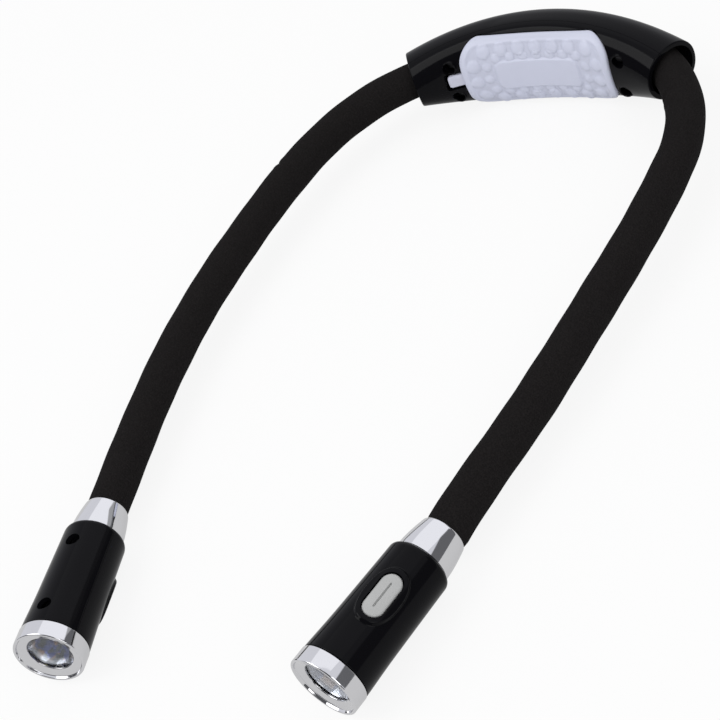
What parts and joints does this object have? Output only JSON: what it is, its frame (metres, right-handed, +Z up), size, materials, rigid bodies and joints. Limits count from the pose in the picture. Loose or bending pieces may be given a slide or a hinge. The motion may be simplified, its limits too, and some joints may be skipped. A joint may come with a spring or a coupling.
{
  "type": "neck reading light",
  "caption": "Neck-worn reading light: arched battery housing with a padded door, bendable foam-covered arms, and torch heads with push buttons.",
  "frame": {"origin": "middle of the small flat under the middle of the housing's arch, on which the light rests on a table", "axes": "+Z up from the table, the arms run toward -Y, +X toward the arm whose button faces up"},
  "size_m": [0.1885, 0.3215, 0.0366],
  "materials": {
    "shell_black": "gloss",
    "door_white": "satin",
    "pad_lavender": "satin",
    "foam_black": "matte",
    "core_metal": "satin",
    "chrome": "polished",
    "contact_brass": "satin",
    "cell_jacket": "satin",
    "screw_steel": "satin",
    "lens_clear": "gloss",
    "led_resin": "gloss",
    "board": "matte",
    "button_grey": "satin"
  },
  "bodies": {
    "housing": {"housing_rear_shell": "shell_black", "housing_inner_shell": "shell_black", "battery_cell_1": "cell_jacket", "battery_cell_2": "cell_jacket", "bridge_contact": "contact_brass", "negative_spring_contact": "contact_brass", "positive_contact": "contact_brass", "housing_screw_1": "screw_steel", "housing_screw_2": "screw_steel", "housing_screw_3": "screw_steel", "housing_screw_4": "screw_steel", "left_arm_anchor": "core_metal", "right_arm_anchor": "core_metal"},
    "battery_door": {"battery_door": "door_white", "neck_pad": "pad_lavender"},
    "left_segment_1": {"left_foam_sleeve_1": "foam_black", "left_arm_core_1": "core_metal"},
    "left_segment_2": {"left_foam_sleeve_2": "foam_black", "left_arm_core_2": "core_metal"},
    "left_segment_3": {"left_foam_sleeve_3": "foam_black", "left_arm_core_3": "core_metal"},
    "left_segment_4": {"left_foam_sleeve_4": "foam_black", "left_arm_core_4": "core_metal"},
    "left_head": {"left_collar": "chrome", "left_head_front_shell": "shell_black", "left_head_rear_shell": "shell_black", "left_bezel": "chrome", "left_reflector": "chrome", "left_lens": "lens_clear", "left_led": "led_resin", "left_led_board": "board", "left_switch": "board", "left_head_screw_1": "screw_steel", "left_head_screw_2": "screw_steel"},
    "left_button": {"left_button": "button_grey"},
    "right_segment_1": {"right_foam_sleeve_1": "foam_black", "right_arm_core_1": "core_metal"},
    "right_segment_2": {"right_foam_sleeve_2": "foam_black", "right_arm_core_2": "core_metal"},
    "right_segment_3": {"right_foam_sleeve_3": "foam_black", "right_arm_core_3": "core_metal"},
    "right_segment_4": {"right_foam_sleeve_4": "foam_black", "right_arm_core_4": "core_metal"},
    "right_head": {"right_collar": "chrome", "right_head_front_shell": "shell_black", "right_head_rear_shell": "shell_black", "right_bezel": "chrome", "right_reflector": "chrome", "right_lens": "lens_clear", "right_led": "led_resin", "right_led_board": "board", "right_switch": "board", "right_head_screw_1": "screw_steel", "right_head_screw_2": "screw_steel"},
    "right_button": {"right_button": "button_grey"}
  },
  "joints": [
    {"name": "battery_door_swing", "type": "hinge", "parent": "housing", "child": "battery_door", "pos_m": [0.033, -0.01514, 0.01825], "axis": [0, 0, 1], "range_deg": [0, 55]},
    {"name": "left_root_lift", "type": "hinge", "parent": "housing", "child": "left_segment_1", "pos_m": [-0.0542, -0.01122, 0.01825], "axis": [-0.4833, 0.8749, 0.0306], "range_deg": [-16, 16]},
    {"name": "left_near_swing", "type": "hinge", "parent": "left_segment_1", "child": "left_segment_2", "pos_m": [-0.08913, -0.05839, 0.0166], "axis": [0, -0.0349, 0.9994], "range_deg": [-25, 15]},
    {"name": "left_middle_lift", "type": "hinge", "parent": "left_segment_2", "child": "left_segment_3", "pos_m": [-0.09966, -0.11819, 0.01451], "axis": [-0.994, 0.1097, 0.0038], "range_deg": [-25, 25]},
    {"name": "left_far_swing", "type": "hinge", "parent": "left_segment_3", "child": "left_segment_4", "pos_m": [-0.10039, -0.17893, 0.01239], "axis": [0, -0.0349, 0.9994], "range_deg": [-25, 25]},
    {"name": "left_head_tilt", "type": "hinge", "parent": "left_segment_4", "child": "left_head", "pos_m": [-0.09209, -0.23919, 0.01029], "axis": [-0.9724, -0.2333, -0.0082], "range_deg": [-25, 25]},
    {"name": "left_button_press", "type": "slide", "parent": "left_head", "child": "left_button", "axis": [-0.4019, -0.0316, 0.9151], "range_m": [0, 0.0008], "stiffness_N_per_m": 1500},
    {"name": "right_root_lift", "type": "hinge", "parent": "housing", "child": "right_segment_1", "pos_m": [0.0542, -0.01122, 0.01825], "axis": [-0.7547, -0.6556, -0.0238], "range_deg": [-16, 16]},
    {"name": "right_near_swing", "type": "hinge", "parent": "right_segment_1", "child": "right_segment_2", "pos_m": [0.07179, -0.0634, 0.01636], "axis": [0, -0.0363, 0.9993], "range_deg": [-15, 25]},
    {"name": "right_middle_lift", "type": "hinge", "parent": "right_segment_2", "child": "right_segment_3", "pos_m": [0.06486, -0.11989, 0.0143], "axis": [-0.9851, 0.1718, 0.0062], "range_deg": [-25, 25]},
    {"name": "right_far_swing", "type": "hinge", "parent": "right_segment_3", "child": "right_segment_4", "pos_m": [0.05473, -0.17594, 0.01227], "axis": [0, -0.0363, 0.9993], "range_deg": [-25, 25]},
    {"name": "right_head_tilt", "type": "hinge", "parent": "right_segment_4", "child": "right_head", "pos_m": [0.04219, -0.23148, 0.01025], "axis": [-0.9707, 0.2401, 0.0087], "range_deg": [-25, 25]},
    {"name": "right_button_press", "type": "slide", "parent": "right_head", "child": "right_button", "axis": [-0.3778, 0.0461, -0.9247], "range_m": [0, 0.0008], "stiffness_N_per_m": 1500}
  ]
}
